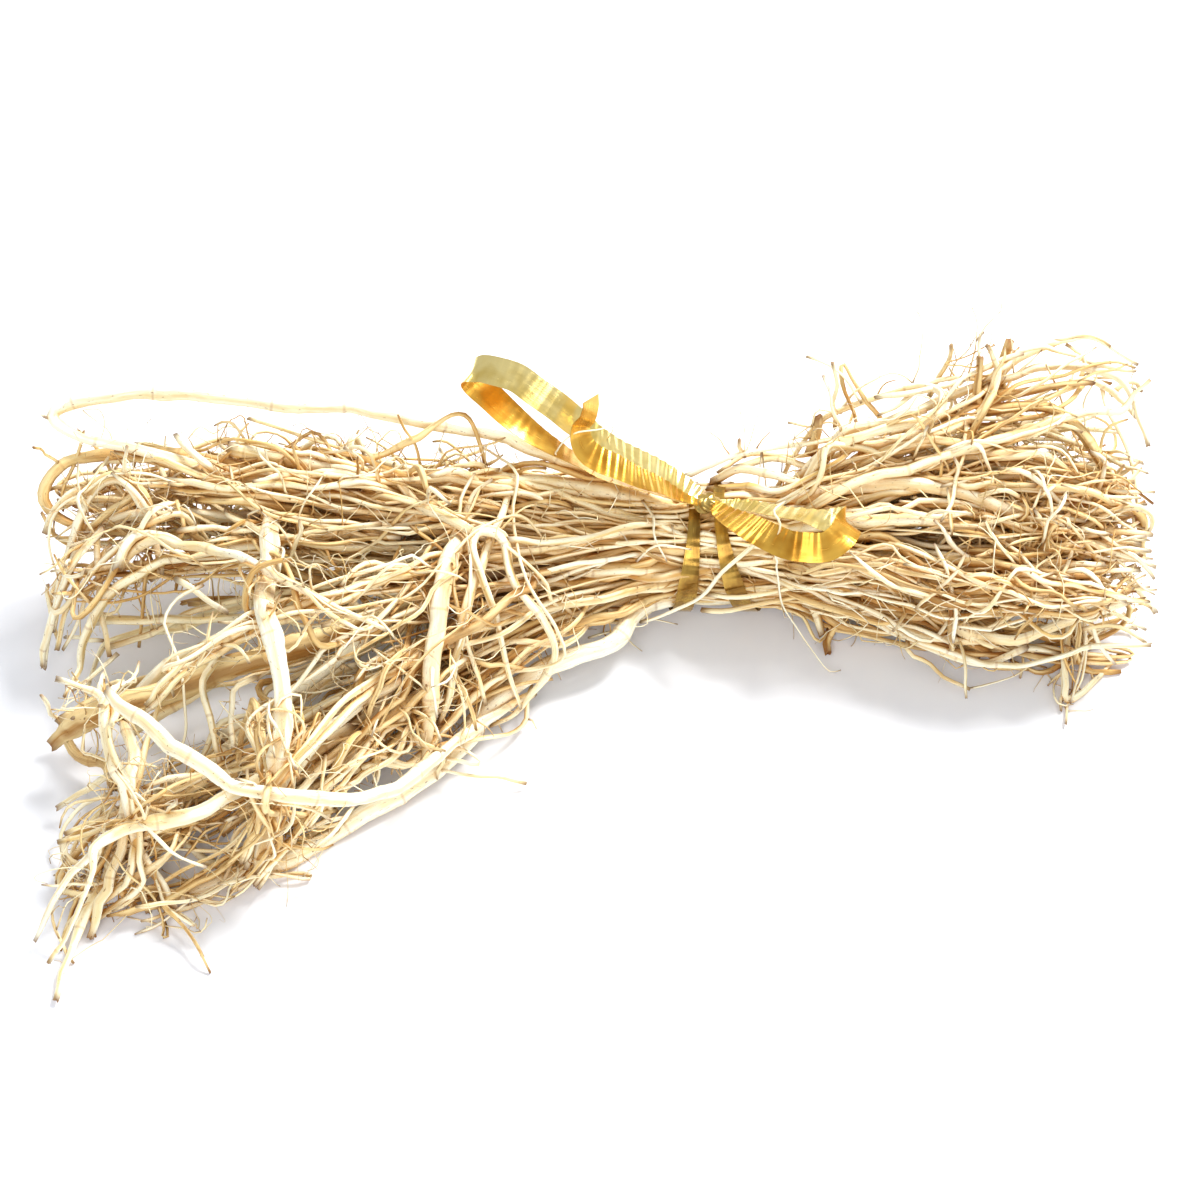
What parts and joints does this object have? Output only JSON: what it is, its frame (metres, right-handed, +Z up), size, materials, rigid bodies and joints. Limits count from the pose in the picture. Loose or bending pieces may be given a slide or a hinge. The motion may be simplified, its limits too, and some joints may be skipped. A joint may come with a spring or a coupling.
{
  "type": "bunch of dried vetiver roots",
  "caption": "Dried bunch of long wiry grass roots lying on its side, tied round the waist with a gold curling ribbon and bow.",
  "frame": {"origin": "centre of the bounding box's underside, on the surface that the bunch lies on", "axes": "+X along the bunch toward the shorter lobe, +Y toward the back of the bunch, +Z up"},
  "size_m": [0.1856, 0.1114, 0.0466],
  "materials": {
    "root_straw": "matt, dry",
    "root_tan": "matt, dry",
    "root_cream": "matt, dry",
    "root_brown": "matt, dry",
    "ribbon_gold": "metallised, crimped"
  },
  "bodies": {
    "root": {"folded_ridge_root": "root_cream", "hook_root": "root_brown", "arch_root": "root_cream", "crown_root": "root_straw", "upper_fan_root": "root_straw", "crossing_branch_root": "root_cream", "curtain_root": "root_cream", "curtain_twin_root": "root_straw", "notch_edge_root": "root_straw", "front_flow_root": "root_straw", "front_flow_twin_root": "root_cream", "low_flow_root": "root_tan", "low_flow_twin_root": "root_straw", "cross_root": "root_cream", "sweep_root": "root_cream", "strap_root": "root_cream", "forked_root": "root_straw", "heel_root": "root_cream", "post_root": "root_cream", "post_twin_root": "root_cream", "long_tip_root": "root_straw", "stump_root": "root_brown", "rim_root": "root_cream", "rim_twin_root": "root_brown", "whip_root": "root_straw", "ray_root": "root_tan", "crest_root": "root_cream", "prop_root": "root_brown", "stub_root": "root_straw", "crook_root": "root_straw", "brace_root": "root_cream", "hem_root": "root_brown", "hem_twin_root": "root_straw", "snag_root": "root_tan", "fall_root": "root_cream", "low_ray_root": "root_brown", "middle_ray_root": "root_straw", "back_ray_root": "root_tan", "arched_twig_root": "root_brown", "inner_root_01": "root_brown", "inner_root_02": "root_straw", "inner_root_03": "root_tan", "inner_root_04": "root_cream", "inner_root_05": "root_brown", "inner_root_06": "root_straw", "inner_root_07": "root_tan", "inner_root_08": "root_cream", "inner_root_09": "root_brown", "inner_root_10": "root_straw", "inner_root_11": "root_tan", "inner_root_12": "root_cream", "inner_root_13": "root_brown", "inner_root_14": "root_straw", "inner_root_15": "root_tan", "ribbon_turn_left": "ribbon_gold", "ribbon_turn_right": "ribbon_gold", "ribbon_knot": "ribbon_gold", "ribbon_left_loop": "ribbon_gold", "ribbon_tail": "ribbon_gold", "ribbon_right_loop": "ribbon_gold"}
  },
  "joints": []
}
